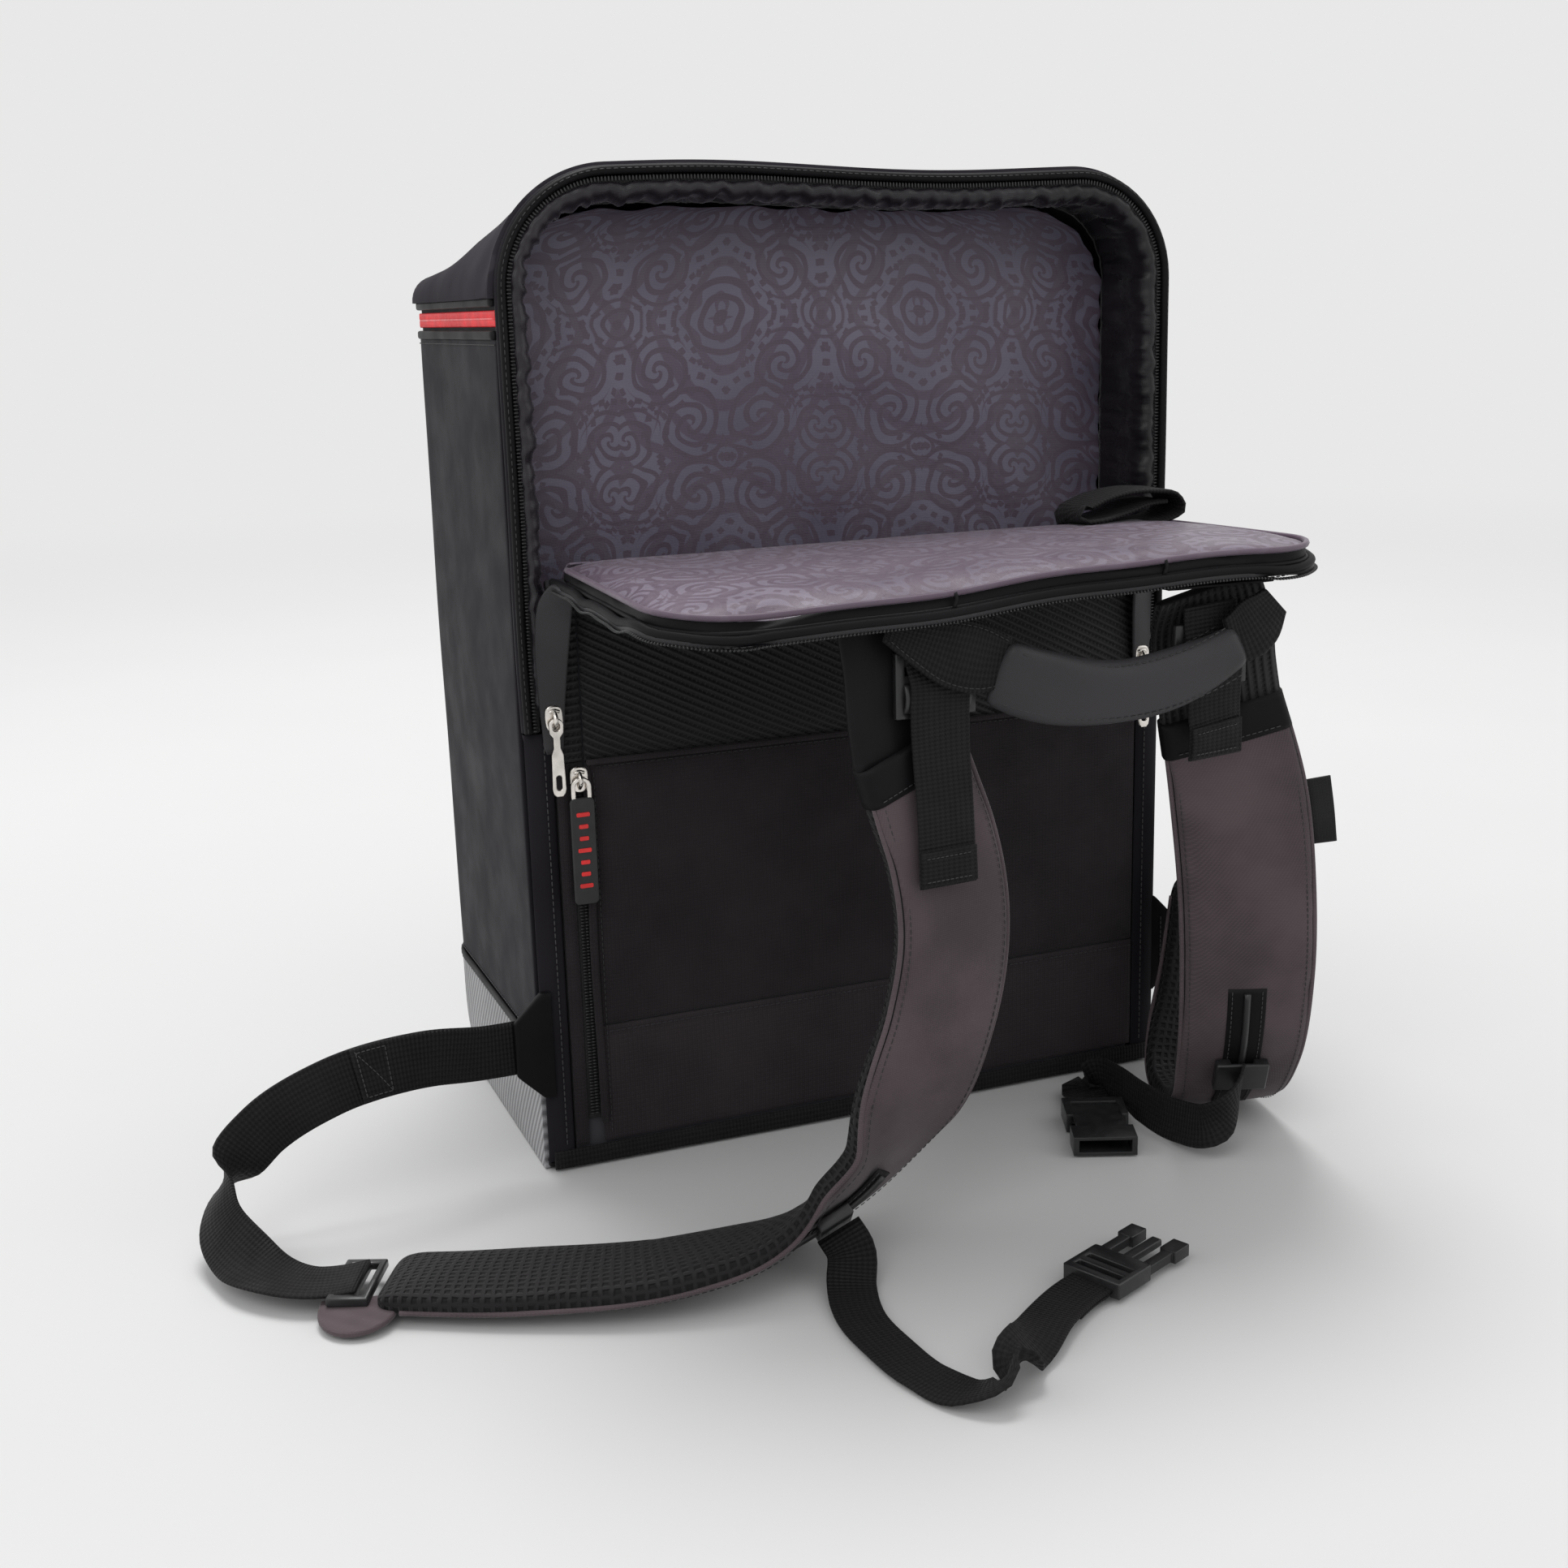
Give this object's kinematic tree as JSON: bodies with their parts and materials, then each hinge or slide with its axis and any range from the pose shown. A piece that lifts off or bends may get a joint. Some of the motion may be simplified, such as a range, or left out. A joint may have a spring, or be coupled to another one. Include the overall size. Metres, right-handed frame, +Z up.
{
  "type": "backpack",
  "caption": "Boxy backpack standing on its base, rear opening unzipped and folded down to show the lining, with padded shoulder straps, sternum strap and carry handle.",
  "frame": {"origin": "middle of the flat base, on the floor", "axes": "+X to the right facing the back panel, -Y out of the back panel towards the wearer, +Z up"},
  "size_m": [0.524, 0.4397, 0.438],
  "materials": {
    "coated_fabric": "matt polyurethane coated fabric, charcoal",
    "boot_fabric": "light grey woven fabric",
    "pack_cloth": "fine plain weave, near black",
    "spacer_mesh": "open three layer spacer mesh, black",
    "lining": "satin lining with a woven ornament",
    "webbing": "ribbed polyester webbing, black",
    "strap_cloth": "smooth brown grey strap fabric over foam",
    "foam_board": "stiffened foam and board",
    "acetal": "moulded black acetal",
    "coil_black": "black nylon coil and its tape",
    "coil_red": "red nylon coil",
    "nickel": "nickel plated zinc",
    "rubber_pull": "moulded rubber pull"
  },
  "bodies": {
    "bag": {"base_boot": "boot_fabric", "base_board": "foam_board", "bottom_binding": "pack_cloth", "side_panel_left": "coated_fabric", "side_panel_right": "coated_fabric", "front_panel": "coated_fabric", "edge_strips": "coated_fabric", "hood": "coated_fabric", "red_zip_tape": "coil_black", "red_zip_chain": "coil_red", "rim_piping": "coated_fabric", "rim_zip_chain": "coil_black", "gusset_lining": "lining", "divider_panel": "lining", "back_board": "foam_board", "mesh_band": "spacer_mesh", "pocket_panel": "pack_cloth", "pocket_zip_chain": "coil_black", "lumbar_panel": "pack_cloth", "fold_binding": "coated_fabric", "webbing_anchors": "coated_fabric", "lower_webbing_left": "webbing", "lower_webbing_right": "webbing"},
    "flap": {"flap_cover": "coated_fabric", "flap_pad": "lining", "flap_zip_chain": "coil_black", "strap_root_patches": "coated_fabric", "stow_strap": "webbing"},
    "handle": {"handle_sleeve": "coated_fabric", "handle_webbing": "webbing"},
    "strap_left_lower": {"strap_left_lower_pad": "strap_cloth", "strap_left_lock": "acetal", "sternum_rail_left": "acetal"},
    "strap_left_upper": {"strap_left_upper_pad": "strap_cloth", "strap_left_neck": "coated_fabric", "lifter_buckle_left": "acetal", "lifter_webbing_left": "webbing"},
    "strap_right": {"strap_right_pad": "strap_cloth", "strap_right_neck": "coated_fabric", "strap_right_lock": "acetal", "lifter_buckle_right": "acetal", "lifter_webbing_right": "webbing", "sternum_rail_right": "acetal"},
    "sternum_left": {"sternum_slider_left": "acetal", "sternum_webbing_left": "webbing", "buckle_male": "acetal"},
    "prong_inner": {"buckle_prong_inner": "acetal"},
    "prong_outer": {"buckle_prong_outer": "acetal"},
    "sternum_right": {"sternum_slider_right": "acetal", "sternum_webbing_right": "webbing", "buckle_female": "acetal"},
    "main_slider_left": {"main_slider_left": "nickel"},
    "main_pull_left": {"main_pull_left": "nickel"},
    "main_slider_right": {"main_slider_right": "nickel"},
    "main_pull_right": {"main_pull_right": "nickel"},
    "pocket_slider": {"pocket_slider": "nickel"},
    "pocket_pull": {"pocket_pull": "rubber_pull"},
    "red_slider": {"red_slider": "nickel"},
    "red_pull": {"red_pull": "nickel"}
  },
  "joints": [
    {"name": "flap_fold", "type": "hinge", "parent": "bag", "child": "flap", "pos_m": [0, -0.086, 0.268], "axis": [-1, 0, 0], "range_deg": [0, 90]},
    {"name": "strap_left_lift", "type": "hinge", "parent": "bag", "child": "strap_left_lower", "pos_m": [-0.20077, -0.14325, 0.04119], "axis": [-0.9059, -0.346, -0.2443], "range_deg": [0, 91.1], "deforming": ["lower_webbing_left", "strap_left_neck"]},
    {"name": "strap_left_bend", "type": "hinge", "parent": "strap_left_lower", "child": "strap_left_upper", "pos_m": [-0.03691, -0.2229, 0.04171], "axis": [0.7576, 0.445, 0.4775], "range_deg": [0, 91.41]},
    {"name": "strap_right_lift", "type": "hinge", "parent": "bag", "child": "strap_right", "pos_m": [0.094, 0.0144, 0.1761], "axis": [-1, 0, 0], "range_deg": [0, 45], "deforming": ["lower_webbing_right", "strap_right_neck"]},
    {"name": "handle_swing", "type": "hinge", "parent": "flap", "child": "handle", "pos_m": [0.031, -0.235, 0.265], "axis": [-1, 0, 0], "range_deg": [0, 55]},
    {"name": "main_zip_left", "type": "slide", "parent": "bag", "child": "main_slider_left", "axis": [0, 0, 1], "range_m": [0, 0.045]},
    {"name": "main_pull_left_swing", "type": "hinge", "parent": "main_slider_left", "child": "main_pull_left", "pos_m": [-0.1467, -0.0924, 0.211], "axis": [-1, 0, 0], "range_deg": [0, 110]},
    {"name": "main_zip_right", "type": "slide", "parent": "bag", "child": "main_slider_right", "axis": [0, 0, 1], "range_m": [0, 0.045]},
    {"name": "main_pull_right_swing", "type": "hinge", "parent": "main_slider_right", "child": "main_pull_right", "pos_m": [0.1467, -0.0924, 0.211], "axis": [-1, 0, 0], "range_deg": [0, 110]},
    {"name": "pocket_zip", "type": "slide", "parent": "bag", "child": "pocket_slider", "axis": [0, 0, -1], "range_m": [0, 0.12]},
    {"name": "pocket_pull_swing", "type": "hinge", "parent": "pocket_slider", "child": "pocket_pull", "pos_m": [-0.1366, -0.0904, 0.1825], "axis": [-1, 0, 0], "range_deg": [0, 110]},
    {"name": "red_zip", "type": "slide", "parent": "bag", "child": "red_slider", "axis": [1, 0, 0], "range_m": [0, 0.24]},
    {"name": "red_pull_swing", "type": "hinge", "parent": "red_slider", "child": "red_pull", "pos_m": [-0.12, 0.0904, 0.379], "axis": [1, 0, 0], "range_deg": [0, 110]},
    {"name": "sternum_left_slide", "type": "slide", "parent": "strap_left_lower", "child": "sternum_left", "axis": [-0.9145, 0, -0.4045], "range_m": [-0.004, 0]},
    {"name": "sternum_right_slide", "type": "slide", "parent": "strap_right", "child": "sternum_right", "axis": [0.149, 0.3928, -0.9075], "range_m": [-0.008, 0]},
    {"name": "prong_inner_squeeze", "type": "hinge", "parent": "sternum_left", "child": "prong_inner", "pos_m": [0.03118, -0.28423, 0.0052], "axis": [0, 0, 1], "range_deg": [0, 8], "stiffness_Nm_per_rad": 0.02},
    {"name": "prong_outer_squeeze", "type": "hinge", "parent": "sternum_left", "child": "prong_outer", "pos_m": [0.02301, -0.26543, 0.0052], "axis": [0, 0, -1], "range_deg": [0, 8], "stiffness_Nm_per_rad": 0.02}
  ],
  "couplings": [
    {"joint": "strap_left_lift", "follows": "flap_fold", "ratio": 1.0121},
    {"joint": "strap_left_bend", "follows": "flap_fold", "ratio": 1.0155},
    {"joint": "strap_right_lift", "follows": "flap_fold", "ratio": 0.5}
  ]
}
